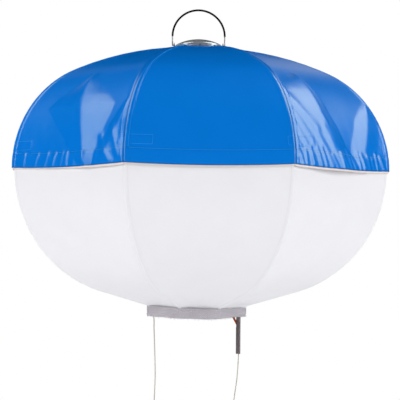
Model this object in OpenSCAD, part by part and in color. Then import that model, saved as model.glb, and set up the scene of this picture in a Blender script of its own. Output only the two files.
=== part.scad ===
// Hanging balloon work light: an eight-sided fabric lantern on sprung rods round a telescopic mast.
// The origin is the hook seat under the bail grip. +Z is up and one flat gore faces -Y.

/* [Fabric] */
// Axis to a seam corner at the hem of the rain cover
corner_r = 550; // [545:1:555]
// Height of the hem, where the lantern is widest
equator_z = -465; // [-469:1:-461]
// Radius of the rain cover's shoulder
shoulder_r = 300; // [295:1:305]
// Radius of the rain cover's flatter crown
crown_r = 940; // [935:5:945]
// Slope where the crown meets the shoulder
shoulder_slope = 25; // [25:1:26]
// Slope where the crown leaves the cap
crown_slope = 6.5; // [6.5:0.5:7]
// Radius of the white envelope's belly
belly_r = 347; // [344:1:350]
// Slope of the envelope's lowest cone
cone_slope = 16.5; // [16:0.5:17]
// How far the cover stands off the envelope
cover_gap = 7; // [6:1:8]
// Wall of the fabric solids
cloth_t = 1.5; // [1.2:0.1:1.8]
// Height of the envelope's upper edge above the hem
tuck_h = 75; // [60:5:90]
// Height of the tabs that fasten the cover to the envelope
tab_h = 27; // [25:1:30]

/* [Neck] */
// Axis to a corner of the collar's inner face
neck_r = 148; // [147:1:149]
// Upper edge of the collar
collar_top_z = -843; // [-845:1:-841]
// Width of the collar webbing
collar_w = 30; // [28:1:30]
// Thickness of the collar webbing
collar_t = 2.5; // [2:0.5:3]

/* [Bail and cap] */
// Radius of the bail arch, to the wire's centre
bail_r = 75; // [74.5:0.5:76]
// Diameter of the bail wire
wire_d = 4; // [3.5:0.5:4.5]
// Diameter of the sleeve on the arch
grip_d = 5.6; // [5.4:0.1:5.8]
// Height of the bail pivot
pivot_z = -98.5; // [-98.5:0.5:-98]
// Radius of the cap's skirt and of the dome's rim
dome_r = 67; // [66:0.5:67]
// Rise of the cap's dome
dome_h = 17; // [16:0.5:18]
// Radius of the cap's flange
flange_r = 76; // [75.5:0.5:76.5]
// Underside of the cap's flange
flange_z = -109.5; // [-110:0.5:-109.5]
// Height of the rim over the underside of the flange
cap_wall = 10.5; // [10:0.5:10.5]
// Sheet of the cap
cap_t = 1.5; // [1.2:0.1:1.8]
// Pitch radius of the cap screws
screw_r = 71.5; // [71.5:0.5:72]

/* [Ribs and mast] */
// Diameter of a rib rod
rod_d = 8; // [7:0.5:8]
// Outer diameter of the inner mast tube
mast_in_d = 30; // [30:1:31]
// Outer diameter of the outer mast tube
mast_out_d = 36; // [36:1:37]
// Upper end of the outer mast tube
mast_out_top = -335; // [-345:5:-325]
// Lower end of the inner mast tube
mast_in_end = -565; // [-585:10:-545]

/* [Lamp] */
// Upper end of the lens tube
lens_top = -419; // [-425:1:-415]
// Length of the lens tube
lens_len = 232; // [228:1:236]
// Outer diameter of the lens tube
lens_d = 124; // [122:1:126]
// Outer radius of the driver housing
housing_r = 84; // [82:1:85]
// Top of the driver housing
housing_top = -747; // [-750:1:-745]

/* [Stand socket and lock] */
// Bore for the stand spigot
spigot_d = 28.2; // [28:0.1:28.4]
// Mouth of the stand socket
socket_z = -876; // [-877:1:-875]
// Depth of the stand socket
socket_depth = 80; // [76:1:84]
// Distance of the lock tube from the axis
lock_x = 120; // [119:0.5:121]
// Outer diameter of the lock tube
lock_d = 13; // [12.5:0.5:13]
// Lower end of the lock tube
lock_end = -982; // [-985:1:-979]
// Diameter of the cords
cord_d = 3.5; // [3:0.5:3.5]

/* [Hidden] */

$fn = 64;
sides = 8;
step = 360 / sides;
flat_k = cos(step / 2);
eps = 0.1;
fit = 0.05;
far = 1300;

shoulder_c = [corner_r - shoulder_r, equator_z];
crown_c = shoulder_c - (crown_r - shoulder_r) * [sin(shoulder_slope), cos(shoulder_slope)];
belly_c = [corner_r - cover_gap - belly_r, equator_z];
rod_inset = cover_gap + 8;
rod_belly_r = belly_r - 8;

screw_shank = 4;
screw_tap = 4.2;
screw_clear = 4.4;
screw_bite = 8;
head_d = 8;
head_h = 3;
cap_head_d = 7;
cap_head_h = 2.6;

cap_top = flange_z + cap_t;
cap_screw_count = 10;
cover_mouth_r = 50;
flat_r = flange_r / flat_k;
hub_seat = flange_z - cloth_t;
hub_seat_r = 76;
seat_gap = 0.4;
hub_disc_top = -116;
hub_disc_h = 20;
hub_disc_r = 92;
mast_boss_r = 22;
mast_boss_end = -155;
mast_seat = 30;
ferrule_d = 12;
ferrule_bore = rod_d + 0.8;
rod_top_r = 84;
sleeve_d = 10.5;
sleeve_len = 24;
sleeve_stop = 1;

plate_top = -855;
plate_t = 3;
plate_z = plate_top - plate_t;
skirt_top = -845;
skirt_bottom = -871;
skirt_r = neck_r - cloth_t - 0.3;
block_in = 98;
block_out = 122;
block_top = -833;

lens_end = lens_top - lens_len;
lens_cap_t = 6;
lens_lip = 5;
lens_rim = 5;
sink_wall = 4;
sink_fin = 2;
sink_end = 8;
sink_flat = 45;
sink_core_r = mast_out_d / 2 + 4;
board_t = 2;
board_w = 40;
board_end = 12;
chip_w = 24;
chip_t = 1.5;
chip_rows = 6;
tie_r = 55;
tie_d = 4.8;
lead_x = -40;
lead_d = 7;

housing_wall = 3;
housing_foot_t = 5;
coil_r = 52;
coil_box = [24, 28, 16];
socket_r = 23;
socket_end_t = 10;
socket_flange_t = 5;
socket_flange_r = 34;
foot_r = 94;
foot_screw_r = 89;
mast_foot_r = 40;
mast_foot_t = 6;
mast_screw_r = 30;
clamp_z = -867;
knob_r = 8;
knob_h = 18;
knob_at = 40;
knob_flute_r = 3;
screw_d = 8;

inlet_y = -52;
inlet_w = 52;
inlet_d = 32;
inlet_t = 4;
shell = [40, 20, 28];
shell_wall = 3;
contact = [2, 6, 19];
knuckle_d = 5;
knuckle_w = 8;
knuckle_x = 20;
lid_knuckle_w = 30;
lid_t = 3;
lid_axis = [0, inlet_y - inlet_d / 2 - 3.5, plate_z - inlet_t - 3];
hinge_reach = 7;
lid_pin_d = 2.4;

switch_x = -52;
bezel = [34, 24, 2.5];
well = [27.6, 18.6, 22];
rocker_r = 12;
rocker_w = 15;
trunnion_d = 3;
rocker_tilt = 8;
rocker_z = plate_z + 2.5;

pawl_axis = [100, 0, -867];
pawl_tip = [117, 0, -898];
pawl_t = 5;
pawl_pin_d = 4;
slot_w = 6.4;

draw_top = [60, 0, -142];
steady_x = -123;
tube_top = -841;

draw_route = [
    [121.5, 0, -841], [121.5, 0, -885], [121.5, 0, -935], [121.5, 0, -982], [120, 0, -1015],
    [117, 0, -1055], [113, 0, -1085], [109, 0, -1115], [104, 0, -1155], [100, 0, -1205],
    [97, 0, -1255], [96, 0, -1305], [96, 0, -1345], [97, 0, -1385]
];
steady_route = [
    [steady_x, 0, -872], [-122, 0, -890], [-122, 0, -910], [-121, 0, -935], [-120, 0, -959],
    [-118, 0, -1019], [-118, 0, -1059], [-120, 0, -1116], [-122, 0, -1155], [-123, 0, -1205],
    [-123, 0, -1255], [-122, 0, -1305], [-121, 0, -1345], [-120, 0, -1385]
];
cord_rings = 38;
cord_sides = 8;
knot_r = 4;

// Points on an arc, without its first point
function arc(c, r, a0, a1, n) = [
    for (i = [1:n]) c + r * [cos(a0 + (a1 - a0) * i / n), sin(a0 + (a1 - a0) * i / n)]
];
function polar(c, r, a) = c + r * [cos(a), sin(a)];
// Corner line of the cover, set in by d
function cover_line(d) = concat(
    [polar(crown_c, crown_r - d, 90 - crown_slope)],
    arc(crown_c, crown_r - d, 90 - crown_slope, 90 - shoulder_slope, 3),
    arc(shoulder_c, shoulder_r - d, 90 - shoulder_slope, 0, 8)
);
// Corner line of the envelope, set in by d, from its tucked edge to the collar
function tuck_angle(d) = asin(tuck_h / (shoulder_r - cover_gap - d));
function belly_end(d) = polar(belly_c, belly_r - d, cone_slope - 90);
function neck_point(d) = let (p = belly_end(d), run = p[0] - (neck_r - d))
    [neck_r - d, p[1] - run * tan(cone_slope)];
function envelope_line(d) = concat(
    [polar(shoulder_c, shoulder_r - cover_gap - d, tuck_angle(d))],
    arc(shoulder_c, shoulder_r - cover_gap - d, tuck_angle(d), 0, 2),
    arc(belly_c, belly_r - d, 0, cone_slope - 90, 9),
    [neck_point(d)]
);
// Rib axis in its own radial plane
rod_crown_r = crown_r - rod_inset;
rod_shoulder_r = shoulder_r - rod_inset;
rod_end = polar(belly_c, rod_belly_r, cone_slope - 90);
rod_top_a = acos((rod_top_r - crown_c[0]) / rod_crown_r);
function upper_rod(r) = [r, crown_c[1] + sqrt(pow(rod_crown_r, 2) - pow(r - crown_c[0], 2))];
function lower_rod(r) = [r, rod_end[1] - (rod_end[0] - r) * tan(cone_slope)];

// A route's point at u from 0 to 1, on a smooth curve through its points
function route_at(route, u) = let (
        last = len(route) - 1,
        k = min(floor(u * last), last - 1),
        t = u * last - k,
        p0 = route[max(k - 1, 0)],
        p1 = route[k],
        p2 = route[k + 1],
        p3 = route[min(k + 2, last)]
    ) 0.5 * (2 * p1 + (p2 - p0) * t + (2 * p0 - 5 * p1 + 4 * p2 - p3) * t * t
        + (3 * p1 - p0 - 3 * p2 + p3) * t * t * t);
function unit(v) = v / norm(v);

// Solid of eight flat gores whose corners follow a line of [radius, height] points
module vault(line) {
    half = [for (p = line) [p[0] * flat_k, p[1]]];
    back = [for (i = [len(half) - 1:-1:0]) [-half[i][0], half[i][1]]];
    intersection_for (k = [0:sides / 2 - 1])
        rotate([90, 0, k * step]) linear_extrude(far, center = true) polygon(concat(half, back));
}

// Eight-sided prism with a flat facing the front
module prism(r, z0, z1) {
    translate([0, 0, z0]) rotate([0, 0, step / 2]) cylinder(r = r, h = z1 - z0, $fn = sides);
}

module ring(r_out, r_in, z0, z1) {
    translate([0, 0, z0]) difference() {
        cylinder(r = r_out, h = z1 - z0);
        translate([0, 0, -1]) cylinder(r = r_in, h = z1 - z0 + 2);
    }
}

// Cylinder between two points
module rod(a, b, d) {
    v = b - a;
    turn = atan2(v[1], v[0]);
    tilt = acos(v[2] / norm(v));
    translate(a) rotate([0, tilt, turn]) cylinder(d = d, h = norm(v));
}

// Tube with flat ends swept along a route
module swept_cord(route) {
    n = cord_rings - 1;
    centres = [for (i = [0:n]) route_at(route, i / n)];
    points = [
        for (i = [0:n]) let (
            along = unit(centres[min(i + 1, n)] - centres[max(i - 1, 0)]),
            side = unit(cross([0, 1, 0], along)),
            up = cross(along, side)
        ) for (j = [0:cord_sides - 1]) let (a = 360 * j / cord_sides)
            centres[i] + cord_d / 2 * (side * cos(a) + up * sin(a))
    ];
    walls = [
        for (i = [0:n - 1]) for (j = [0:cord_sides - 1]) let (
            k = (j + 1) % cord_sides,
            a = i * cord_sides + j,
            b = i * cord_sides + k
        ) each [[a, b + cord_sides, b], [a, a + cord_sides, b + cord_sides]]
    ];
    fan_start = [for (j = [1:cord_sides - 2]) [0, j, j + 1]];
    base = n * cord_sides;
    fan_end = [for (j = [1:cord_sides - 2]) [base, base + j + 1, base + j]];
    polyhedron(points, concat(walls, fan_start, fan_end));
}

// Part of a round rod bent to an arc in its radial plane
module bent_rod(c, r, a0, a1) {
    translate([c[0], 0, c[1]]) rotate([90, 0, 0]) rotate([0, 0, a0])
        rotate_extrude(angle = a1 - a0) translate([r, 0]) circle(d = rod_d);
}

// Something in the radial plane of rib k
module at_rib(k) {
    rotate([0, 0, step * (k - 0.5)]) children();
}

// Bail: wire arch on two legs whose ends turn in through the lugs
arch_z = grip_d / 2 - bail_r;
pin_in = 67.5;
module bail_wire() {
    color("gainsboro") {
        translate([0, 0, arch_z]) rotate([90, 0, 0])
            rotate_extrude(angle = 180) translate([bail_r, 0]) circle(d = wire_d);
        for (s = [-1, 1]) {
            translate([s * bail_r, 0, pivot_z]) cylinder(d = wire_d, h = arch_z - pivot_z);
            translate([s * bail_r, 0, pivot_z]) sphere(d = wire_d);
            translate([s * pin_in, 0, pivot_z]) rotate([0, s * 90, 0])
                cylinder(d = wire_d, h = bail_r - pin_in);
        }
    }
}

module bail_grip() {
    color("black") translate([0, 0, arch_z]) rotate([90, 0, 0])
        rotate_extrude(angle = 180) translate([bail_r, 0]) difference() {
            circle(d = grip_d);
            circle(d = wire_d + 0.1);
        }
}

// Cap: spun dome on a short skirt, with a flange that clamps the cover on the hub
dome_ball_r = (dome_r * dome_r + dome_h * dome_h) / (2 * dome_h);
dome_ball_z = flange_z + cap_wall + dome_h - dome_ball_r;
module dome(inset) {
    intersection() {
        translate([0, 0, dome_ball_z]) sphere(r = dome_ball_r - inset, $fn = 96);
        translate([0, 0, flange_z - inset]) cylinder(r = dome_r - inset, h = cap_wall + dome_h + 2 * cap_t);
    }
}
module top_cap() {
    color("silver") difference() {
        union() {
            translate([0, 0, flange_z]) cylinder(r = flange_r, h = cap_t);
            dome(0);
        }
        dome(cap_t);
        at_cap_screws() translate([0, 0, flange_z - 1]) cylinder(d = screw_clear, h = cap_t + 2);
    }
}

// Something at each cap screw, the first one at the front
module at_cap_screws() {
    for (k = [0:cap_screw_count - 1]) rotate([0, 0, 360 / cap_screw_count * k - 90])
        translate([screw_r, 0, 0]) children();
}

module cap_screws() {
    color("dimgray") at_cap_screws() {
        translate([0, 0, hub_seat - screw_bite]) cylinder(d = screw_shank, h = screw_bite + cloth_t + cap_t + eps);
        translate([0, 0, cap_top]) cylinder(d = cap_head_d, h = cap_head_h);
    }
}

// Lug: bent tab welded on the flange, with a standing plate that carries the bail end
lug_x = 71;
lug_t = 2;
lug_w = 14;
lug_foot = 6.5;
module bail_lug(s) {
    color("silver") rotate([0, 0, s > 0 ? 0 : 180]) difference() {
        union() {
            translate([lug_x - lug_t, -lug_w / 2, cap_top]) cube([lug_foot, lug_w, lug_t]);
            translate([lug_x - lug_t, -lug_w / 2, cap_top]) cube([lug_t, lug_w, pivot_z - cap_top]);
            translate([lug_x - lug_t, 0, pivot_z]) rotate([0, 90, 0]) cylinder(d = lug_w, h = lug_t);
        }
        translate([0, 0, pivot_z]) rotate([0, 90, 0]) cylinder(d = wire_d + 2 * fit, h = far);
    }
}
module bail_lug_left() { bail_lug(-1); }
module bail_lug_right() { bail_lug(1); }

// Rain cover: eight coated gores, clamped at the top and open at the hem
module cover() {
    color("dodgerblue") difference() {
        vault(concat([[flat_r, flange_z]], cover_line(0)));
        vault(concat([[flat_r - cloth_t, hub_seat]], cover_line(cloth_t),
            [[corner_r - cloth_t, equator_z - 10]]));
        translate([0, 0, hub_seat - 1]) cylinder(r = cover_mouth_r, h = cloth_t + 2);
        at_cap_screws() translate([0, 0, hub_seat - 1]) cylinder(d = screw_clear, h = cloth_t + 2);
    }
}

// Tabs of hook-and-loop tape between the cover and the envelope at each corner
tab_top = equator_z + 71;
tab_w = 68;
tab_edge = 3;
tab_skin = 0.4;
module hem_tabs() {
    color("navy") intersection() {
        difference() {
            vault(concat(cover_line(cloth_t + tab_skin), [[corner_r - cloth_t - tab_skin, equator_z - 9]]));
            vault(concat(cover_line(cover_gap - tab_skin), [[corner_r - cover_gap + tab_skin, equator_z - 10]]));
        }
        for (k = [0:sides - 1]) rotate([0, 0, step * k])
            translate([corner_r * flat_k - 60, -corner_r * sin(step / 2) + tab_edge, tab_top - tab_h])
                cube([80, tab_w, tab_h]);
    }
}

// Envelope: white gores from inside the hem down to the neck
module envelope() {
    color("white") difference() {
        vault(concat(envelope_line(0), [[neck_r, skirt_bottom + 2]]));
        vault(concat(
            [[envelope_line(cloth_t)[0][0], equator_z + tuck_h + 10]],
            envelope_line(cloth_t),
            [[neck_r - cloth_t, skirt_bottom - 10]]
        ));
    }
}

// Collar: webbing strapped round the neck
module collar_band() {
    color("gray") difference() {
        prism(neck_r + 0.2 + collar_t, collar_top_z - collar_w, collar_top_z - 1);
        prism(neck_r + 0.2, collar_top_z - collar_w - 1, collar_top_z + 1);
    }
}

// Upper hub: clamp seat, rod sockets and mast boss
module top_hub() {
    color("darkgray") difference() {
        union() {
            intersection() {
                translate([0, 0, hub_disc_top]) cylinder(r = hub_seat_r, h = hub_seat - hub_disc_top);
                vault(concat([[flat_r - cloth_t - seat_gap, hub_seat]], cover_line(cloth_t + seat_gap)));
            }
            translate([0, 0, hub_disc_top - hub_disc_h]) cylinder(r = hub_disc_r, h = hub_disc_h);
            translate([0, 0, mast_boss_end]) cylinder(r = mast_boss_r, h = mast_seat + 10);
        }
        translate([0, 0, mast_boss_end - 1]) cylinder(d = mast_in_d + 2 * fit, h = mast_seat + 1);
        at_cap_screws() translate([0, 0, hub_seat - screw_bite - 1]) cylinder(d = screw_tap, h = screw_bite + 2);
        for (k = [1:sides]) at_rib(k) rod_cut(upper_rod(80), upper_rod(hub_disc_r + 10));
    }
}

module rod_cut(a, b) {
    rod([a[0], 0, a[1]], [b[0], 0, b[1]], ferrule_d + 0.2);
}

module ferrule(a, b) {
    difference() {
        rod([a[0], 0, a[1]], [b[0], 0, b[1]], ferrule_d);
        rod([a[0] * 2 - b[0], 0, a[1] * 2 - b[1]], [b[0] * 2 - a[0], 0, b[1] * 2 - a[1]], ferrule_bore);
    }
}

module upper_ferrules() {
    color("silver") for (k = [1:sides]) at_rib(k) ferrule(upper_rod(82), upper_rod(124));
}

module lower_ferrules() {
    color("silver") for (k = [1:sides]) at_rib(k) ferrule(lower_rod(96), lower_rod(138));
}

// Sleeve that joins two lengths of rod, at angle a on an arc
module rod_sleeve(c, r, a) {
    p = polar(c, r, a);
    half = sleeve_len / 2 * [-sin(a), cos(a)];
    rod([p[0] - half[0], 0, p[1] - half[1]], [p[0] + half[0], 0, p[1] + half[1]], sleeve_d);
}

// Rib: four lengths of glass-fibre rod, sleeved end to end and bowed between the hubs
module rib(k) {
    crown_stop = sleeve_stop / rod_crown_r * 180 / PI;
    shoulder_stop = sleeve_stop / rod_shoulder_r * 180 / PI;
    belly_stop = sleeve_stop / rod_belly_r * 180 / PI;
    joint_a = 90 - shoulder_slope;
    cone_a = cone_slope - 90;
    foot = lower_rod(block_in);
    cone_top = lower_rod(rod_end[0] - sleeve_stop);
    color("khaki") at_rib(k) {
        bent_rod(crown_c, rod_crown_r, joint_a + crown_stop, rod_top_a);
        rod_sleeve(shoulder_c, rod_shoulder_r, joint_a);
        bent_rod(shoulder_c, rod_shoulder_r, shoulder_stop, joint_a - shoulder_stop);
        rod_sleeve(shoulder_c, rod_shoulder_r, 0);
        bent_rod(belly_c, rod_belly_r, cone_a + belly_stop, -belly_stop);
        rod_sleeve(belly_c, rod_belly_r, cone_a);
        rod([cone_top[0], 0, cone_top[1]], [foot[0], 0, foot[1]], rod_d);
    }
}
module rib_1() { rib(1); }
module rib_2() { rib(2); }
module rib_3() { rib(3); }
module rib_4() { rib(4); }
module rib_5() { rib(5); }
module rib_6() { rib(6); }
module rib_7() { rib(7); }
module rib_8() { rib(8); }

// Lower hub: closing plate, skirt inside the collar and one block per rod
module lower_hub() {
    color("darkgray") difference() {
        union() {
            prism(skirt_r - 1, plate_z, plate_top);
            difference() {
                prism(skirt_r, skirt_bottom, skirt_top);
                prism(skirt_r - 3, skirt_bottom - 1, skirt_top + 1);
            }
            for (k = [1:sides]) at_rib(k) translate([block_in, -10, plate_top - eps])
                cube([block_out - block_in, 20, block_top - plate_top + eps]);
        }
        for (k = [1:sides]) at_rib(k) rod_cut(lower_rod(94), lower_rod(150));
        translate([0, 0, plate_z - 1]) cylinder(r = socket_r + 0.1, h = plate_t + 2);
        translate([-21, inlet_y - 11, plate_z - 1]) cube([42, 22, plate_t + 2]);
        translate([switch_x - 14, -9.5, plate_z - 1]) cube([28, 19, plate_t + 2]);
        translate([lock_x, 0, plate_z - 1]) cylinder(d = lock_d + 0.2, h = plate_t + 2);
        for (a = [30:60:330]) rotate([0, 0, a]) translate([foot_screw_r, 0, plate_z - 1])
            cylinder(d = screw_clear, h = plate_t + 2);
        translate([steady_x, 0, plate_z - 1]) cylinder(d = 5.2, h = plate_t + 2);
    }
}

module mast_inner() {
    color("lightgray") ring(mast_in_d / 2, mast_in_d / 2 - 2, mast_in_end, mast_boss_end + mast_seat);
}

module mast_outer() {
    color("silver") difference() {
        union() {
            translate([0, 0, housing_top]) cylinder(d = mast_out_d, h = mast_out_top - housing_top);
            translate([0, 0, housing_top]) cylinder(r = mast_foot_r, h = mast_foot_t);
        }
        translate([0, 0, housing_top - 1]) cylinder(d = mast_in_d + 2, h = far);
        for (a = [45:90:315]) rotate([0, 0, a]) translate([mast_screw_r, 0, housing_top - 1])
            cylinder(d = screw_clear, h = mast_foot_t + 2);
    }
}

// Guide bush: flanged sleeve in the mouth of the outer tube
module mast_bush() {
    color("black") difference() {
        union() {
            translate([0, 0, mast_out_top]) cylinder(d = mast_out_d + 6, h = 5);
            translate([0, 0, mast_out_top - 40]) cylinder(d = mast_in_d + 1.9, h = 40);
        }
        translate([0, 0, mast_out_top - 41]) cylinder(d = mast_in_d + 2 * fit, h = 60);
    }
}

// Heat sink: six-sided extrusion with a tube for the mast and spokes between
module heat_sink() {
    hex_r = sink_flat / cos(30);
    sink_len = lens_len - 2 * sink_end;
    color("lightslategray") translate([0, 0, lens_end + sink_end]) linear_extrude(sink_len) difference() {
        union() {
            difference() {
                circle(r = hex_r, $fn = 6);
                circle(r = hex_r - sink_wall / cos(30), $fn = 6);
            }
            circle(r = sink_core_r);
            for (a = [0:30:330]) rotate(a) translate([0, -sink_fin / 2])
                square([sink_flat - sink_wall / 2, sink_fin]);
        }
        circle(d = mast_out_d + 0.2);
    }
}

module led_boards() {
    z0 = lens_end + board_end;
    run = lens_len - 2 * board_end;
    pitch = run / chip_rows;
    color("ivory") for (a = [30:60:330]) rotate([0, 0, a]) {
        translate([sink_flat + eps, -board_w / 2, z0]) cube([board_t, board_w, run]);
        for (i = [0:chip_rows - 1])
            translate([sink_flat + board_t, -chip_w / 2, z0 + (i + 0.5) * pitch - chip_w / 2])
                cube([chip_t, chip_w, chip_w]);
    }
}

module lens_tube() {
    color("azure") ring(lens_d / 2, lens_d / 2 - 2, lens_end, lens_top);
}

// Lens cap: disc with a groove for the tube, clamped on the mast
module lens_cap(z0, groove_up) {
    depth = lens_cap_t + lens_lip;
    difference() {
        translate([0, 0, z0]) cylinder(r = lens_d / 2 + lens_rim, h = depth);
        translate([0, 0, z0 - 1]) cylinder(d = mast_out_d + 0.2, h = depth + 2);
        translate([0, 0, groove_up ? z0 + lens_cap_t : z0 - 1]) cylinder(r = lens_d / 2 + 0.2, h = lens_lip + 1);
        for (a = [30:120:270]) rotate([0, 0, a]) translate([tie_r, 0, z0 - 1])
            cylinder(d = tie_d + 0.2, h = depth + 2);
        if (groove_up) translate([lead_x, 0, z0 - 1]) cylinder(d = lead_d + 0.2, h = depth + 2);
    }
}
module lens_cap_upper() { color("dimgray") lens_cap(lens_top - lens_lip, false); }
module lens_cap_lower() { color("dimgray") lens_cap(lens_end - lens_cap_t, true); }

module lens_ties() {
    color("silver") for (a = [30:120:270]) rotate([0, 0, a]) translate([tie_r, 0, lens_end - lens_cap_t - 2])
        cylinder(d = tie_d, h = lens_len + 2 * lens_cap_t + 4);
}

module lamp_lead() {
    foot = housing_top + mast_foot_t + 0.2;
    color("black") translate([lead_x, 0, foot]) cylinder(d = lead_d, h = lens_end + 4 - foot);
}

// Driver housing: deep cup over the lower hub
module driver_housing() {
    color("dimgray") difference() {
        union() {
            translate([0, 0, plate_top]) cylinder(r = housing_r, h = housing_top - plate_top);
            translate([0, 0, plate_top]) cylinder(r = foot_r, h = housing_foot_t);
        }
        translate([0, 0, plate_top - 1])
            cylinder(r = housing_r - housing_wall, h = housing_top - plate_top - housing_wall);
        translate([0, 0, housing_top - 10]) cylinder(d = mast_in_d, h = 20);
        for (a = [45:90:315]) rotate([0, 0, a]) translate([mast_screw_r, 0, housing_top - 5])
            cylinder(d = screw_tap, h = 6);
        for (a = [30:60:330]) rotate([0, 0, a]) translate([foot_screw_r, 0, plate_top - 1])
            cylinder(d = screw_tap, h = 7);
    }
}

module driver_board() {
    color("darkgreen") {
        translate([0, 0, housing_top - 24]) ring(housing_r - housing_wall - eps, socket_r + 4, 0, 2);
        for (a = [20:90:290]) rotate([0, 0, a]) translate([coil_r, 0, housing_top - 24 - coil_box[2]]) {
            translate([-coil_box[0] / 2, -coil_box[1] / 2, 0]) cube(coil_box);
            translate([0, 24, 4]) cylinder(d = 12, h = 12);
        }
    }
}

module housing_screws() {
    color("silver") {
        for (a = [30:60:330]) rotate([0, 0, a]) translate([foot_screw_r, 0, plate_z - head_h]) {
            cylinder(d = head_d, h = head_h);
            cylinder(d = screw_shank, h = head_h + plate_t + 4);
        }
        for (a = [45:90:315]) rotate([0, 0, a]) translate([mast_screw_r, 0, housing_top - 4]) {
            translate([0, 0, 4 + mast_foot_t]) cylinder(d = head_d, h = head_h);
            cylinder(d = screw_shank, h = 4 + mast_foot_t + 1);
        }
    }
}

// Stand socket: blind tube that takes a stand spigot, with a tapped boss for the clamp screw
module stand_socket() {
    color("gray") difference() {
        union() {
            translate([0, 0, socket_z]) cylinder(r = socket_r, h = socket_depth + socket_end_t);
            translate([0, 0, plate_top]) cylinder(r = socket_flange_r, h = socket_flange_t);
        }
        translate([0, 0, socket_z - 1]) cylinder(d = spigot_d, h = socket_depth + 1);
        translate([0, 0, clamp_z]) rotate([-90, 0, 0]) cylinder(d = screw_d + 2 * fit, h = 60);
    }
}

// Clamp screw: threaded stem with a lobed knob
module clamp_screw() {
    color("black") translate([0, 0, clamp_z]) rotate([-90, 0, 0]) {
        translate([0, 0, spigot_d / 2 + 0.6]) cylinder(d = screw_d, h = knob_at + 4 - spigot_d / 2);
        translate([0, 0, knob_at]) difference() {
            cylinder(r = knob_r, h = knob_h);
            for (a = [0:60:300]) rotate([0, 0, a]) translate([knob_r + knob_flute_r / 2, 0, -1])
                cylinder(r = knob_flute_r, h = knob_h + 2);
        }
    }
}

// Power inlet: flanged shell with three contacts
module inlet_body() {
    color("black") difference() {
        union() {
            translate([-inlet_w / 2, inlet_y - inlet_d / 2 - hinge_reach, plate_z - inlet_t])
                cube([inlet_w, inlet_d + hinge_reach, inlet_t]);
            translate([-shell[0] / 2, inlet_y - shell[1] / 2, plate_z - eps]) cube(shell);
            for (s = [-1, 1]) translate([s * knuckle_x - knuckle_w / 2, lid_axis[1], lid_axis[2]]) {
                rotate([0, 90, 0]) cylinder(d = knuckle_d, h = knuckle_w);
                translate([0, -knuckle_d / 2, 0]) cube([knuckle_w, knuckle_d, 3 + eps]);
            }
        }
        translate([shell_wall - shell[0] / 2, inlet_y + shell_wall - shell[1] / 2, plate_z - inlet_t - 1])
            cube([shell[0] - 2 * shell_wall, shell[1] - 2 * shell_wall, shell[2] - 1]);
        translate([-40, lid_axis[1], lid_axis[2]]) rotate([0, 90, 0]) cylinder(d = lid_pin_d + 2 * fit, h = 80);
    }
}

module inlet_contacts() {
    color("goldenrod") for (x = [-9, 0, 9]) translate([x - 1, inlet_y - (x == 0 ? 5 : 1), plate_z - inlet_t + 3])
        cube(contact);
}

// Inlet lid: flap with one knuckle between the shell's two
module inlet_lid() {
    lid_z = plate_z - inlet_t - 0.5 - lid_t;
    color("black") difference() {
        union() {
            translate([-inlet_w / 2, inlet_y - inlet_d / 2, lid_z]) cube([inlet_w, inlet_d, lid_t]);
            translate([-lid_knuckle_w / 2, lid_axis[1], lid_axis[2]]) rotate([0, 90, 0])
                cylinder(d = knuckle_d, h = lid_knuckle_w);
            translate([-lid_knuckle_w / 2, lid_axis[1], lid_axis[2] - knuckle_d / 2])
                cube([lid_knuckle_w, knuckle_d, knuckle_d / 2]);
        }
        translate([-40, lid_axis[1], lid_axis[2]]) rotate([0, 90, 0]) cylinder(d = lid_pin_d + 2 * fit, h = 80);
    }
}

module lid_pin() {
    color("silver") translate([-25, lid_axis[1], lid_axis[2]]) rotate([0, 90, 0]) cylinder(d = lid_pin_d, h = 50);
}

// Mains switch: bezel in the plate and a round-backed rocker
module switch_bezel() {
    color("black") difference() {
        union() {
            translate([switch_x - bezel[0] / 2, -bezel[1] / 2, plate_z - bezel[2]]) cube(bezel);
            translate([switch_x - well[0] / 2, -well[1] / 2, plate_z - eps]) cube(well);
        }
        translate([switch_x - 12.6, -8, plate_z - 3.5]) cube([25.2, 16, 22]);
        translate([switch_x, -20, rocker_z]) rotate([-90, 0, 0]) cylinder(d = trunnion_d + 2 * fit, h = 40);
    }
}

module switch_rocker() {
    color("red") translate([switch_x, 0, rocker_z]) rotate([0, rocker_tilt, 0]) {
        difference() {
            intersection() {
                translate([0, -rocker_w / 2, 0]) rotate([-90, 0, 0]) cylinder(r = rocker_r, h = rocker_w);
                translate([-11.6, -rocker_w / 2, -6]) cube([23.2, rocker_w, 11]);
            }
            translate([0, -8.5, -22]) rotate([-90, 0, 0]) cylinder(r = 17.5, h = 17);
        }
        translate([0, 0.1 - well[1] / 2, 0]) rotate([-90, 0, 0]) cylinder(d = trunnion_d, h = well[1] - 0.2);
    }
}

// Cord lock: a pawl on a clevis swings into a slot of the tube and grips the draw cord
clevis_w = 12;
clevis_t = 2.5;
bracket_in = 82;
bracket = [28, 20, 3];
module lock_bracket() {
    color("silver") difference() {
        union() {
            translate([bracket_in, -bracket[1] / 2, plate_z - bracket[2]]) cube(bracket);
            for (s = [-1, 1])
                translate([pawl_axis[0] - 6, s * (clevis_w - clevis_t) / 2 - clevis_t / 2, pawl_axis[2] - 5])
                    cube([12, clevis_t, plate_z - pawl_axis[2] + 4]);
        }
        translate([pawl_axis[0], -20, pawl_axis[2]]) rotate([-90, 0, 0]) cylinder(d = pawl_pin_d + 2 * fit, h = 40);
    }
}

module lock_tube() {
    color("slategray") difference() {
        translate([lock_x, 0, lock_end]) cylinder(d = lock_d, h = tube_top - lock_end);
        translate([lock_x, 0, lock_end - 1]) cylinder(d = lock_d - 3, h = tube_top - lock_end + 2);
        translate([lock_x - lock_d, -slot_w / 2, pawl_tip[2] - 8]) cube([lock_d, slot_w, 30]);
    }
}

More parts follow.
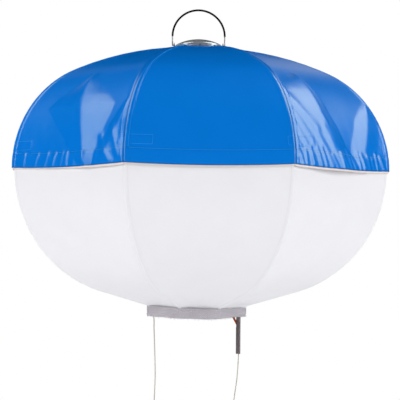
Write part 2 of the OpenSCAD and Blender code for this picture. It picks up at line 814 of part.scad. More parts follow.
pawl_len = norm(pawl_tip - pawl_axis);
pawl_drop = atan2(pawl_axis[2] - pawl_tip[2], pawl_tip[0] - pawl_axis[0]);
module lock_pawl() {
    color("firebrick") translate(pawl_axis) rotate([0, pawl_drop, 0]) difference() {
        union() {
            translate([0, -pawl_t / 2, -3]) cube([pawl_len - 2, pawl_t, 6]);
            rotate([-90, 0, 0]) translate([0, 0, -pawl_t / 2]) cylinder(r = 4.5, h = pawl_t);
            translate([pawl_len - 3, 0, 0]) rotate([-90, 0, 0]) translate([0, 0, -pawl_t / 2])
                cylinder(r = 3, h = pawl_t);
        }
        translate([0, -20, 0]) rotate([-90, 0, 0]) cylinder(d = pawl_pin_d + 2 * fit, h = 40);
    }
}

module pawl_pin() {
    color("silver") translate([pawl_axis[0], -8, pawl_axis[2]]) rotate([-90, 0, 0]) cylinder(d = pawl_pin_d, h = 16);
}

module draw_eye() {
    color("silver") translate([draw_top[0], 0, draw_top[2]])
        cylinder(d = 10, h = hub_disc_top - hub_disc_h - draw_top[2]);
}

// Draw cord inside the lantern, from the upper hub down to the lock tube
module draw_cord_inner() {
    color("lightgray") rod(draw_top - [0, 0, 0.5], [draw_route[0][0], 0, tube_top + 0.5], cord_d);
}

module draw_cord() { color("lightgray") swept_cord(draw_route); }

// Eye bolt under the plate for the steady cord
module steady_eye() {
    color("silver") translate([steady_x, 0, plate_z - 7]) {
        rotate([90, 0, 0]) rotate_extrude() translate([5, 0]) circle(d = 2.4);
        translate([0, 0, 4.4]) cylinder(d = 5, h = plate_t + 8);
    }
}

module steady_cord() { color("lightgray") swept_cord(steady_route); }

// Stopper knots at the free ends of the two cords
module cord_knots() {
    color("lightgray") for (route = [draw_route, steady_route])
        translate(route[len(route) - 1] - [0, 0, knot_r / 2]) sphere(r = knot_r);
}

bail_wire();
bail_grip();
top_cap();
cap_screws();
bail_lug_left();
bail_lug_right();
cover();
hem_tabs();
envelope();
collar_band();
top_hub();
upper_ferrules();
rib_1();
rib_2();
rib_3();
rib_4();
rib_5();
rib_6();
rib_7();
rib_8();
lower_ferrules();
lower_hub();
mast_inner();
mast_bush();
mast_outer();
heat_sink();
led_boards();
lens_tube();
lens_cap_upper();
lens_cap_lower();
lens_ties();
lamp_lead();
driver_housing();
driver_board();
housing_screws();
stand_socket();
clamp_screw();
inlet_body();
inlet_contacts();
inlet_lid();
lid_pin();
switch_bezel();
switch_rocker();
lock_bracket();
lock_tube();
lock_pawl();
pawl_pin();
draw_eye();
draw_cord_inner();
draw_cord();
steady_eye();
steady_cord();
cord_knots();
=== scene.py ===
# Balloon work light hung from a wire bail: a coated rain cover over a white envelope on sprung rods.
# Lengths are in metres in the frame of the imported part: the hook seat is the origin and +Z is up.
import math
import random

import bmesh
import bpy
from mathutils import Matrix, Vector, noise


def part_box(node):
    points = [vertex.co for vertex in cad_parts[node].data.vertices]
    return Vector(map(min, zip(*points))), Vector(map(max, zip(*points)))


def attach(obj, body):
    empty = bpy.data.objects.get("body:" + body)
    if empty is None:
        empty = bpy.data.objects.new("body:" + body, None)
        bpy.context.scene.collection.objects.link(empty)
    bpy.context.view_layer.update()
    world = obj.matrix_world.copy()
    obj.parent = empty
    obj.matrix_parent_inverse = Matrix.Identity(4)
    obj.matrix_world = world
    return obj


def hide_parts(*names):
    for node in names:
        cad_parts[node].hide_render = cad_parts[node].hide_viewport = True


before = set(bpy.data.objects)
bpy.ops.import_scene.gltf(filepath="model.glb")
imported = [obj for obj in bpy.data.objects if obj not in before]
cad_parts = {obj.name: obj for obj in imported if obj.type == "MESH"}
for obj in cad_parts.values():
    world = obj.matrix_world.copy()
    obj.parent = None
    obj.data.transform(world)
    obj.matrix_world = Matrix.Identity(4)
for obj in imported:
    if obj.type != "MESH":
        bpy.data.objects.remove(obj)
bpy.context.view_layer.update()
scene = bpy.context.scene
scene.view_settings.view_transform = "Standard"


# Camera: over three metres off, a touch left of the front gore and level with the white belly.
# The lens is long; the picture is raised and rolled a little, as a hand-held one is.
eye_distance = 3.369
eye_height = -0.6395
eye_turn = math.radians(3.34)
eye_roll = math.radians(0.42)
camera = bpy.data.objects.new("camera", bpy.data.cameras.new("camera"))
camera.data.sensor_width = 36.0
camera.data.lens = 105.7
camera.data.shift_x = 0.0069
camera.data.shift_y = 0.0856
camera.location = (-eye_distance * math.sin(eye_turn), -eye_distance * math.cos(eye_turn), eye_height)
camera.rotation_euler = (
    Matrix.Rotation(-eye_turn, 4, "Z")
    @ Matrix.Rotation(math.pi / 2, 4, "X")
    @ Matrix.Rotation(eye_roll, 4, "Z")
).to_euler()
scene.collection.objects.link(camera)
scene.camera = camera


# Cords: two limp three-strand polyester lines, laid up from fine yarn, each stopped by an overhand knot.
# One runs up through the lock tube to hold the rods bowed, the other steadies the light from the ground.
cord_d = 0.0035
strand_r = 0.00088
lay_pitch = 0.0125
strand_step = 0.0012
knot_size, knot_line_r, knot_below = 0.0011, 0.0013, 0.002
draw_route = [
    (0.1215, 0, -0.841), (0.1215, 0, -0.885), (0.1215, 0, -0.935), (0.1215, 0, -0.982), (0.120, 0, -1.015),
    (0.117, 0, -1.055), (0.113, 0, -1.085), (0.109, 0, -1.115), (0.104, 0, -1.155), (0.100, 0, -1.205),
    (0.097, 0, -1.255), (0.096, 0, -1.305), (0.096, 0, -1.345), (0.097, 0, -1.385),
]
steady_route = [
    (-0.123, 0, -0.872), (-0.122, 0, -0.890), (-0.122, 0, -0.910), (-0.121, 0, -0.935), (-0.120, 0, -0.959),
    (-0.118, 0, -1.019), (-0.118, 0, -1.059), (-0.120, 0, -1.116), (-0.122, 0, -1.155), (-0.123, 0, -1.205),
    (-0.123, 0, -1.255), (-0.122, 0, -1.305), (-0.121, 0, -1.345), (-0.120, 0, -1.385),
]


def smooth_route(points, pieces=8):
    line = [Vector(p) for p in points]
    ends = [2 * line[0] - line[1]] + line + [2 * line[-1] - line[-2]]
    route = []
    for before, a, b, after in zip(ends, ends[1:], ends[2:], ends[3:]):
        for k in range(pieces):
            t = k / pieces
            route.append(0.5 * (2 * a + (b - before) * t + (2 * before - 5 * a + 4 * b - after) * t * t
                                + (3 * a - before - 3 * b + after) * t ** 3))
    return route + [line[-1]]


def tube_mesh(lines, radius, closed=False):
    curve = bpy.data.curves.new("tube", "CURVE")
    curve.dimensions = "3D"
    curve.bevel_depth = radius
    curve.bevel_resolution = 1
    curve.use_fill_caps = not closed
    for line in lines:
        spline = curve.splines.new("POLY")
        spline.points.add(len(line) - 1)
        spline.use_cyclic_u = closed
        for point, at in zip(spline.points, line):
            point.co = (*at, 1.0)
    holder = bpy.data.objects.new("tube", curve)
    mesh = bpy.data.meshes.new_from_object(holder)
    bpy.data.objects.remove(holder)
    bpy.data.curves.remove(curve)
    return mesh


def add_piece(name, mesh, material, body="core"):
    mesh.name = name
    mesh.materials.clear()
    mesh.materials.append(material)
    mesh.shade_smooth()
    piece = bpy.data.objects.new(name, mesh)
    scene.collection.objects.link(piece)
    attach(piece, body)
    return piece


def grain_group():
    group = bpy.data.node_groups.new("grain", "ShaderNodeTree")
    for socket, kind in (("Position", "Vector"), ("Scale", "Float"), ("Low", "Color"), ("High", "Color"),
                         ("Smooth", "Float"), ("Rough", "Float")):
        group.interface.new_socket(socket, in_out="INPUT", socket_type="NodeSocket" + kind)
    for socket, kind in (("Colour", "Color"), ("Roughness", "Float"), ("Height", "Float")):
        group.interface.new_socket(socket, in_out="OUTPUT", socket_type="NodeSocket" + kind)
    entry = group.nodes.new("NodeGroupInput")
    leave = group.nodes.new("NodeGroupOutput")
    broad = group.nodes.new("ShaderNodeTexNoise")
    broad.inputs["Detail"].default_value = 3.0
    tight = group.nodes.new("ShaderNodeTexNoise")
    tight.inputs["Detail"].default_value = 2.0
    tighter = group.nodes.new("ShaderNodeMath")
    tighter.operation = "MULTIPLY"
    tighter.inputs[1].default_value = 9.0
    tint = group.nodes.new("ShaderNodeMix")
    tint.data_type = "RGBA"
    worn = group.nodes.new("ShaderNodeMix")
    link = group.links.new
    link(entry.outputs["Position"], broad.inputs["Vector"])
    link(entry.outputs["Position"], tight.inputs["Vector"])
    link(entry.outputs["Scale"], broad.inputs["Scale"])
    link(entry.outputs["Scale"], tighter.inputs[0])
    link(tighter.outputs[0], tight.inputs["Scale"])
    link(broad.outputs["Fac"], tint.inputs["Factor"])
    link(entry.outputs["Low"], tint.inputs[6])
    link(entry.outputs["High"], tint.inputs[7])
    link(tight.outputs["Fac"], worn.inputs[0])
    link(entry.outputs["Smooth"], worn.inputs[2])
    link(entry.outputs["Rough"], worn.inputs[3])
    link(tint.outputs[2], leave.inputs["Colour"])
    link(worn.outputs[0], leave.inputs["Roughness"])
    link(tight.outputs["Fac"], leave.inputs["Height"])
    return group


grain = grain_group()


def grained(name, low, high, smooth, rough, scale, depth, metal=0.0, stretch=(1, 1, 1)):
    material = bpy.data.materials.new(name)
    material.use_nodes = True
    nodes, link = material.node_tree.nodes, material.node_tree.links.new
    shader = nodes["Principled BSDF"]
    shader.inputs["Metallic"].default_value = metal
    place = nodes.new("ShaderNodeTexCoord")
    pull = nodes.new("ShaderNodeMapping")
    pull.inputs["Scale"].default_value = stretch
    look = nodes.new("ShaderNodeGroup")
    look.node_tree = grain
    look.inputs["Scale"].default_value = scale
    look.inputs["Low"].default_value = (*low, 1)
    look.inputs["High"].default_value = (*high, 1)
    look.inputs["Smooth"].default_value = smooth
    look.inputs["Rough"].default_value = rough
    bump = nodes.new("ShaderNodeBump")
    bump.inputs["Distance"].default_value = depth
    link(place.outputs["Object"], pull.inputs["Vector"])
    link(pull.outputs["Vector"], look.inputs["Position"])
    link(look.outputs["Colour"], shader.inputs["Base Color"])
    link(look.outputs["Roughness"], shader.inputs["Roughness"])
    link(look.outputs["Height"], bump.inputs["Height"])
    link(bump.outputs["Normal"], shader.inputs["Normal"])
    return material


cord_yarn = grained("cord_yarn", (0.42, 0.39, 0.34), (0.60, 0.57, 0.51), 0.75, 0.95, 900, 0.0003)


def lay_cord(name, node, points, knot_name, knot_turn):
    route = smooth_route(points)
    run = 0.0
    fine = []
    for a, b in zip(route, route[1:]):
        steps = max(1, round((b - a).length / strand_step))
        fine += [a.lerp(b, k / steps) for k in range(steps)]
    fine.append(route[-1])
    strands = [[], [], []]
    for at, after in zip(fine, fine[1:] + fine[-1:]):
        for k, strand in enumerate(strands):
            turn = 2 * math.pi * (run / lay_pitch + k / 3)
            strand.append(at + Vector((math.cos(turn), math.sin(turn), 0)) * (cord_d / 2 - strand_r))
        run += (after - at).length
    cord = add_piece(name, tube_mesh(strands, strand_r), cord_yarn)
    loop = []
    knot_at, knot_turned = route[-1] + Vector((0, 0, -knot_below)), Matrix.Rotation(knot_turn, 3, "Z")
    for k in range(96):
        t = 2 * math.pi * k / 96
        bend = Vector((math.sin(t) + 2 * math.sin(2 * t), -1.2 * math.sin(3 * t),
                       math.cos(t) - 2 * math.cos(2 * t)))
        loop.append(knot_at + knot_turned @ bend * knot_size)
    knot = add_piece(knot_name, tube_mesh([loop], knot_line_r, closed=True), cord_yarn)
    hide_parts(node)
    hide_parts("cord_knots")


lay_cord("draw_line", "draw_cord", draw_route, "draw_knot", 0.4)
lay_cord("steady_line", "steady_cord", steady_route, "steady_knot", 1.3)


# Frame: aluminium hubs at head and foot hold eight glass fibre rods in pressed ferrules.
# The rods are pultruded, black, in lengths joined by drawn steel sleeves.
cast_aluminium = grained("cast_aluminium", (0.52, 0.53, 0.54), (0.66, 0.67, 0.68), 0.34, 0.52, 260, 0.00012,
                         1.0)
glass_fibre = grained("glass_fibre", (0.012, 0.012, 0.013), (0.035, 0.035, 0.037), 0.30, 0.48, 300, 0.0001,
                      stretch=(1, 1, 0.12))


def dress(material, *names):
    for name in names:
        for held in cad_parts[name].material_slots:
            held.material = material


dress(cast_aluminium, "top_hub", "lower_hub", "upper_ferrules", "lower_ferrules")
dress(glass_fibre, *["rib_%d" % k for k in range(1, 9)])


# Mast and lamp: a sliding aluminium mast, a finned heat sink with six boards of diodes, and a clear tube
# between two moulded caps on drawn ties. The driver sits below in a powder coated housing.
drawn_tube = grained("drawn_tube", (0.60, 0.61, 0.62), (0.72, 0.73, 0.74), 0.24, 0.40, 180, 0.00005, 1.0,
                     stretch=(1, 1, 0.04))
dark_steel = grained("dark_steel", (0.045, 0.046, 0.050), (0.10, 0.10, 0.105), 0.30, 0.50, 420, 0.00005, 0.9)
moulded_black = grained("moulded_black", (0.012, 0.012, 0.013), (0.028, 0.028, 0.030), 0.40, 0.60, 700,
                        0.00012)
soft_rubber = grained("soft_rubber", (0.010, 0.010, 0.011), (0.024, 0.024, 0.025), 0.60, 0.85, 500, 0.0002)
board_white = grained("board_white", (0.74, 0.74, 0.72), (0.82, 0.82, 0.80), 0.35, 0.55, 220, 0.00004)
board_green = grained("board_green", (0.010, 0.085, 0.035), (0.022, 0.13, 0.055), 0.30, 0.48, 160, 0.00005)
powder_grey = grained("powder_grey", (0.24, 0.25, 0.26), (0.31, 0.32, 0.33), 0.45, 0.65, 900, 0.00015)
turned_brass = grained("turned_brass", (0.55, 0.38, 0.13), (0.72, 0.53, 0.22), 0.20, 0.36, 300, 0.00004, 1.0)
clear_lens = grained("clear_lens", (0.90, 0.92, 0.92), (0.96, 0.97, 0.97), 0.04, 0.12, 60, 0.00003)
lens_shader = clear_lens.node_tree.nodes["Principled BSDF"]
lens_shader.inputs["Transmission Weight"].default_value = 0.9
lens_shader.inputs["IOR"].default_value = 1.49
dress(drawn_tube, "mast_inner", "mast_outer", "heat_sink", "lens_ties")
dress(moulded_black, "mast_bush", "lens_cap_upper", "lens_cap_lower", "lamp_lead")
dress(board_white, "led_boards")
dress(board_green, "driver_board")
dress(clear_lens, "lens_tube")
dress(powder_grey, "driver_housing")
dress(dark_steel, "housing_screws")


# Foot: the socket that drops on a stand, its thumb screw, and the mains inlet and switch in the plate.
# Socket and brackets are zinc plated steel, the inlet and switch are moulded.
zinc_plate = grained("zinc_plate", (0.46, 0.47, 0.47), (0.62, 0.63, 0.62), 0.30, 0.46, 140, 0.00005, 1.0)
switch_red = grained("switch_red", (0.42, 0.018, 0.014), (0.52, 0.028, 0.022), 0.30, 0.42, 300, 0.00004)
dress(zinc_plate, "stand_socket", "steady_eye", "draw_eye")
dress(moulded_black, "clamp_screw", "inlet_body", "switch_bezel")
dress(soft_rubber, "inlet_lid")
dress(turned_brass, "inlet_contacts")
dress(dark_steel, "lid_pin", "pawl_pin")
dress(switch_red, "switch_rocker")


# Cord lock: a grey extruded tube in a folded bracket, with a red-brown painted lever that pinches the cord.
# The paint is a little uneven; the tube is plain and somewhat chalky.
grey_tube = grained("grey_tube", (0.135, 0.112, 0.118), (0.195, 0.165, 0.172), 0.34, 0.48, 220, 0.00008, 0.5,
                    stretch=(1, 1, 0.06))
red_brown_paint = grained("red_brown_paint", (0.27, 0.036, 0.003), (0.36, 0.052, 0.005), 0.42, 0.60, 300,
                          0.00012)
dress(grey_tube, "lock_tube")
dress(zinc_plate, "lock_bracket")
dress(red_brown_paint, "lock_pawl")
dress(cord_yarn, "draw_cord_inner")


# Envelope: eight gores of white ripstop sewn edge to edge, each seam a narrow sleeve over its rod.
# It starts inside the cover's hem, is drawn tight over the belly and gathers a little into the neck.
gore_count = 8
half_gore = math.pi / gore_count
equator = -0.465
flange = -0.1103
cover_gap = 0.007
tuck_turn = 0.203
belly_centre, belly_r = (0.196, equator), 0.347
neck_r, neck_slope = 0.1475, math.radians(163.5)
neck_end = -0.869
crown_centre, crown_r = (-0.0205, -1.0450), 0.940
shoulder_centre, shoulder_r = (0.250, equator), 0.300
crown_start, crown_stop = math.radians(6.5), math.radians(25)


def bow(centre, radius, start, stop, count):
    return [(centre[0] + radius * math.sin(start + (stop - start) * k / count),
             centre[1] + radius * math.cos(start + (stop - start) * k / count)) for k in range(count + 1)]


def line_length(line):
    return sum(math.dist(a, b) for a, b in zip(line, line[1:]))


def walk(line, distance):
    for a, b in zip(line, line[1:]):
        step = math.dist(a, b)
        if distance <= step:
            break
        distance -= step
    else:
        distance += step
    part = distance / step
    over, down = b[0] - a[0], b[1] - a[1]
    return a[0] + over * part, a[1] + down * part, over / step, down / step


def gore_width(spot):
    return 2 * spot[0] * math.sin(half_gore)


def gore_point(spot, gore, across, lift, drop=0.0):
    radius, level, run, fall = spot
    half_width = radius * math.sin(half_gore)
    side = across - half_width
    lean = half_gore * max(0.0, 1 - (half_width - abs(side)) / 0.007) * (1 if side > 0 else -1)
    turn = 2 * half_gore * gore - math.pi / 2
    out = Vector((math.cos(turn), math.sin(turn), 0))
    along = Vector((-math.sin(turn), math.cos(turn), 0))
    facing = Vector((math.cos(turn + lean), math.sin(turn + lean), 0)) * -fall + Vector((0, 0, run))
    return (out * radius * math.cos(half_gore) + along * side + Vector((0, 0, level - drop))
            + facing.normalized() * lift)


def ease(t):
    t = min(1.0, max(0.0, t))
    return t * t * (3 - 2 * t)


def face_out(sheet):
    bmesh.ops.recalc_face_normals(sheet, faces=sheet.faces[:])
    if sum(face.normal.xy.dot(face.calc_center_median().xy) * face.calc_area() for face in sheet.faces) < 0:
        bmesh.ops.reverse_faces(sheet, faces=sheet.faces[:])


def pin_cloth(faces, cloth, place):
    for face in faces:
        for corner in face.loops:
            corner[cloth].uv = place[corner.vert]


def finish_mesh(shape, name):
    mesh = bpy.data.meshes.new(name)
    shape.to_mesh(mesh)
    shape.free()
    return mesh


def column_across(column, width, edges, middle):
    columns = 2 * len(edges) + middle
    if column < len(edges):
        return edges[column]
    if column >= columns - len(edges):
        return width - edges[columns - 1 - column]
    return edges[-1] + (width - 2 * edges[-1]) * (column - len(edges) + 1) / (middle + 1)


def sew_gores(name, line, rows, edges, middle, lift_at, drop_at, groove_at):
    """One sheet of eight gores. rows are (distance along the line, inset), edges the offsets kept fine."""
    shell = bmesh.new()
    cloth = shell.loops.layers.uv.new("cloth")
    # Per-vertex weight of painted shade for seams and folds, read by the cloth material.
    groove = shell.verts.layers.float.new("groove")
    columns = 2 * len(edges) + middle
    spots = [(walk(line, distance), distance, inset) for distance, inset in rows]
    for gore in range(gore_count):
        made = bmesh.ops.create_grid(shell, x_segments=columns - 1, y_segments=len(rows) - 1, size=1)["verts"]
        place = {}
        for vert in made:
            column = round((vert.co.x + 1) / 2 * (columns - 1))
            spot, distance, inset = spots[round((1 - vert.co.y) / 2 * (len(rows) - 1))]
            width = gore_width(spot)
            across = column_across(column, width, edges, middle)
            lift = lift_at(gore, across, width, distance) - inset
            vert.co = gore_point(spot, gore, across, lift, drop_at(gore, across, width, distance))
            vert[groove] = groove_at(across, width, distance, inset)
            place[vert] = (across - width / 2 + gore * 0.5, distance)
        pin_cloth({face for vert in made for face in vert.link_faces}, cloth, place)
    bmesh.ops.remove_doubles(shell, verts=shell.verts[:], dist=0.00005)
    face_out(shell)
    return finish_mesh(shell, name)


def weave_group():
    group = bpy.data.node_groups.new("weave", "ShaderNodeTree")
    for socket, kind in (("Cloth", "Vector"), ("Threads", "Float")):
        group.interface.new_socket(socket, in_out="INPUT", socket_type="NodeSocket" + kind)
    group.interface.new_socket("Height", in_out="OUTPUT", socket_type="NodeSocketFloat")
    group.interface.new_socket("Slub", in_out="OUTPUT", socket_type="NodeSocketFloat")
    entry = group.nodes.new("NodeGroupInput")
    leave = group.nodes.new("NodeGroupOutput")
    link = group.links.new
    yarns = []
    for direction in ("X", "Y"):
        yarn = group.nodes.new("ShaderNodeTexWave")
        yarn.bands_direction = direction
        yarn.inputs["Distortion"].default_value = 0.4
        link(entry.outputs["Cloth"], yarn.inputs["Vector"])
        link(entry.outputs["Threads"], yarn.inputs["Scale"])
        yarns.append(yarn)
    over = group.nodes.new("ShaderNodeMath")
    over.operation = "MAXIMUM"
    slub = group.nodes.new("ShaderNodeTexNoise")
    slub.inputs["Scale"].default_value = 14.0
    slub.inputs["Detail"].default_value = 4.0
    link(yarns[0].outputs["Fac"], over.inputs[0])
    link(yarns[1].outputs["Fac"], over.inputs[1])
    link(entry.outputs["Cloth"], slub.inputs["Vector"])
    link(over.outputs[0], leave.inputs["Height"])
    link(slub.outputs["Fac"], leave.inputs["Slub"])
    return group


weave = weave_group()


def woven(name, low, high, smooth, rough, threads, depth, shade=None, inside=None):
    material = bpy.data.materials.new(name)
    material.use_nodes = True
    nodes, link = material.node_tree.nodes, material.node_tree.links.new
    shader = nodes["Principled BSDF"]
    place = nodes.new("ShaderNodeUVMap")
    place.uv_map = "cloth"
    look = nodes.new("ShaderNodeGroup")
    look.node_tree = weave
    look.inputs["Threads"].default_value = threads * math.pi / 10
    tint = nodes.new("ShaderNodeMix")
    tint.data_type = "RGBA"
    tint.inputs[6].default_value = (*low, 1)
    tint.inputs[7].default_value = (*high, 1)
    sheen = nodes.new("ShaderNodeMix")
    sheen.inputs[2].default_value = smooth
    sheen.inputs[3].default_value = rough
    bump = nodes.new("ShaderNodeBump")
    bump.inputs["Distance"].default_value = depth
    link(place.outputs["UV"], look.inputs["Cloth"])
    link(look.outputs["Slub"], tint.inputs[0])
    link(look.outputs["Slub"], sheen.inputs[0])
    link(look.outputs["Height"], bump.inputs["Height"])
    link(sheen.outputs[0], shader.inputs["Roughness"])
    link(bump.outputs["Normal"], shader.inputs["Normal"])
    colour = tint.outputs[2]
    # shade is painted shade: a darker colour mixed in where the mesh's groove weight is high, in seams and
    # folds where shade falls.
    if shade:
        shade_mask = nodes.new("ShaderNodeAttribute")
        shade_mask.attribute_name = "groove"
        painted_shade = nodes.new("ShaderNodeMix")
        painted_shade.data_type = "RGBA"
        painted_shade.inputs[7].default_value = (*shade, 1)
        link(shade_mask.outputs["Fac"], painted_shade.inputs[0])
        link(colour, painted_shade.inputs[6])
        colour = painted_shade.outputs[2]
    if inside:
        back = nodes.new("ShaderNodeNewGeometry")
        lining = nodes.new("ShaderNodeMix")
        lining.data_type = "RGBA"
        lining.inputs[7].default_value = (*inside, 1)
        link(back.outputs["Backfacing"], lining.inputs[0])
        link(colour, lining.inputs[6])
        colour = lining.outputs[2]
    link(colour, shader.inputs["Base Color"])
    return material


# The shade colour is painted shade for the lines along the rod sleeves.
white_ripstop = woven("white_ripstop", (0.83, 0.83, 0.865), (0.87, 0.87, 0.90), 0.62, 0.78, 1400, 0.00004,
                      shade=(0.72, 0.72, 0.75))
belly_line = bow(belly_centre, belly_r, math.pi / 2, neck_slope, 60)
tuck_bow = bow(shoulder_centre, shoulder_r, math.pi / 2 - tuck_turn, math.pi / 2, 8)
tuck_line = [(r - cover_gap, z) for r, z in reversed(tuck_bow)]
cone_end = belly_line[-1][1] - (belly_line[-1][0] - neck_r) * math.tan(math.pi - neck_slope)
envelope_line = tuck_line[::-1][:-1] + belly_line + [(neck_r, cone_end), (neck_r, neck_end)]
envelope_line = [(r - 0.0008, z) for r, z in envelope_line]
tuck_length = line_length(tuck_line)
envelope_length = line_length(envelope_line)
sleeve_half = 0.0065


def envelope_lift(gore, across, width, distance):
    edge = min(across, width - across)
    below = distance - tuck_length
    sleeve = 0.0016 * max(0.0, 1 - (edge / sleeve_half) ** 2) ** 0.5 * ease(below / 0.02 + 1)
    away = ease((edge - 0.004) / 0.03)
    slack = -0.0022 * (1 - (2 * across / width - 1) ** 2)
    spot = Vector((gore * 3.7 + (across + 0.55 * below) * 16, (below - 0.55 * across) * 5.5, 2.0))
    cross = Vector((gore * 5.1 + (across - 0.7 * below) * 13, (below + 0.7 * across) * 5.0, 7.0))
    under_hem = ease(1 - below / 0.22)
    near_neck = ease((below - 0.42) / 0.12)
    drag = 0.0016 * under_hem * (noise.noise(spot) + noise.noise(cross))
    puffed = Vector((gore * 9.0 + across / max(width, 0.05) * 7, below * 4, 1.0))
    gather = 0.0014 * near_neck * noise.noise(puffed)
    return sleeve + away * (slack + drag + gather)


def envelope_drop(gore, across, width, distance):
    return 0.0


# Painted shade on the envelope: a faint grey line along the edge of each rod sleeve.
def envelope_groove(across, width, distance, inset):
    edge = min(across, width - across)
    return 0.3 * math.exp(-((edge - sleeve_half) / 0.0012) ** 2)


envelope_rows = [(envelope_length * k / 84, 0.0) for k in range(85)]
envelope_edges, envelope_middle = [0, 0.0022, 0.0044, 0.0065, 0.0080], 40
envelope = add_piece(
    "envelope_cloth",
    sew_gores("envelope_cloth", envelope_line, envelope_rows, envelope_edges, envelope_middle, envelope_lift,
              envelope_drop, envelope_groove),
    white_ripstop)
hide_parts("envelope")


# Cover: eight gores of blue coated cloth, felled seam by seam, with a turned hem sewn 36 mm up.
# The coating is glossy outside and pale within; corner patches are sewn through over the fastening tapes.
hem_turn = 0.036
fell = 0.0120
patch_wide, patch_low, patch_high, patch_past = 0.071, 0.044, 0.071, 0.018
cover_line = ([(0.052, flange), (0.0815, flange)] + bow(crown_centre, crown_r, crown_start, crown_stop, 40)
              + bow(shoulder_centre, shoulder_r, crown_stop, math.pi / 2, 60)[1:])
cover_length = line_length(cover_line)
creased_up_to = 0.210
creases = {
    0: [(0.8, 4, [(80, 5), (86, 16)]), (0.5, 6, [(300, 8), (306, 30)])],
    1: [(1.7, 14, [(6, 190), (48, 138), (88, 92)]), (1.1, 11, [(5, 150), (45, 88), (108, 10)]),
        (1.2, 9, [(5, 112), (30, 70), (74, 10)]), (1.5, 9, [(92, 74), (122, 40), (146, 8)]),
        (1.0, 10, [(118, 100), (146, 52), (180, 8)]), (1.3, 6, [(12, 60), (38, 20)])],
    7: [(1.7, 8, [(330, 72), (346, 40), (372, 8)]), (1.8, 7, [(362, 98), (384, 58), (402, 18)]),
        (1.5, 6, [(396, 112), (407, 70)]), (1.3, 7, [(398, 52), (410, 16)])],
}
chance = random.Random(17)
for at in range(22, 402, 23):
    creases[1].append((chance.uniform(1.5, 2.6), chance.uniform(5, 7),
                       [(at + chance.uniform(-4, 8), 3),
                        (at - chance.uniform(8, 20), chance.uniform(28, 48))]))
for at in (46, 92, 130, 160, 190, 212, 240, 276, 318):
    creases[7].append((chance.uniform(1.5, 2.2), chance.uniform(4.5, 6.5),
                       [(at, 3), (at + chance.uniform(2, 12), 34)]))
for gore in range(2, 7):
    chance = random.Random(40 + gore)
    creases[gore] = [(chance.uniform(0.8, 1.8), chance.uniform(5, 8),
                      [(at, 3), (at + chance.uniform(-16, 16), 31)]) for at in range(40, 400, 38)]
    creases[gore] += [(chance.uniform(0.9, 1.8), 7, [(chance.uniform(15, 60), chance.uniform(60, 110)),
                                                     (chance.uniform(80, 150), chance.uniform(4, 40))])
                      for k in range(3)]
swells = {
    1: [(16.0, 200, 80, [(205, 0, 1), (158, 59, 0.78), (123, 140, 0.62), (106, 215, 0.52), (100, 255, 0.3),
                         (96, 285, 0.02)]),
        (5.5, 66, 60, [(290, 0, 1), (309, 59, 1), (344, 140, 0.9), (356, 175, 0.5), (366, 205, 0.02)])],
    7: [(12.5, 130, 118, [(288, 0, 0.2), (264, 75, 0.55), (239, 126, 0.85), (217, 160, 1), (200, 190, 0.78),
                          (186, 216, 0.48), (168, 252, 0.22), (152, 286, 0.02)]),
        (5.0, 34, 60, [(342, 0, 1), (378, 85, 0.85), (392, 180, 0.5), (399, 218, 0.02)])],
}


def swell_height(gore, across, high):
    """Broad slack folds in mm: height, reach to each side, and the ridge as (across, high, spread)."""
    rise = 0.0
    for tall, left, right, ridge in swells.get(gore, ()):
        for (a0, h0, s0), (a1, h1, s1) in zip(ridge, ridge[1:]):
            part = (high * 1000 - h0) / (h1 - h0)
            if part < 1 and (part >= 0 or h0 == 0):
                spread = max(0.01, s0 + (s1 - s0) * max(0.0, part))
                off = across * 1000 - a0 - (a1 - a0) * part
                off = abs(off) / (spread * (left if off < 0 else right))
                rise += tall / 1000 * spread ** 0.4 * max(0.0, 1 - math.sqrt(off * off + 0.004))
                break
    return rise


def crease_height(gore, across, high):
    """Sharp creases in mm: height, width, and the (across, high) points that the crease runs through."""
    rise = 0.0
    for tall, wide, path in creases[gore]:
        for (a0, h0), (a1, h1) in zip(path, path[1:]):
            run_a, run_h = (a1 - a0) / 1000, (h1 - h0) / 1000
            part = ((across - a0 / 1000) * run_a + (high - h0 / 1000) * run_h) / (run_a ** 2 + run_h ** 2)
            part = min(1.0, max(0.0, part))
            off = math.hypot(across - a0 / 1000 - run_a * part, high - h0 / 1000 - run_h * part) * 1000 / wide
            if off < 2.5:
                rise = max(rise, tall / 1000 * math.exp(-off * off))
    return rise


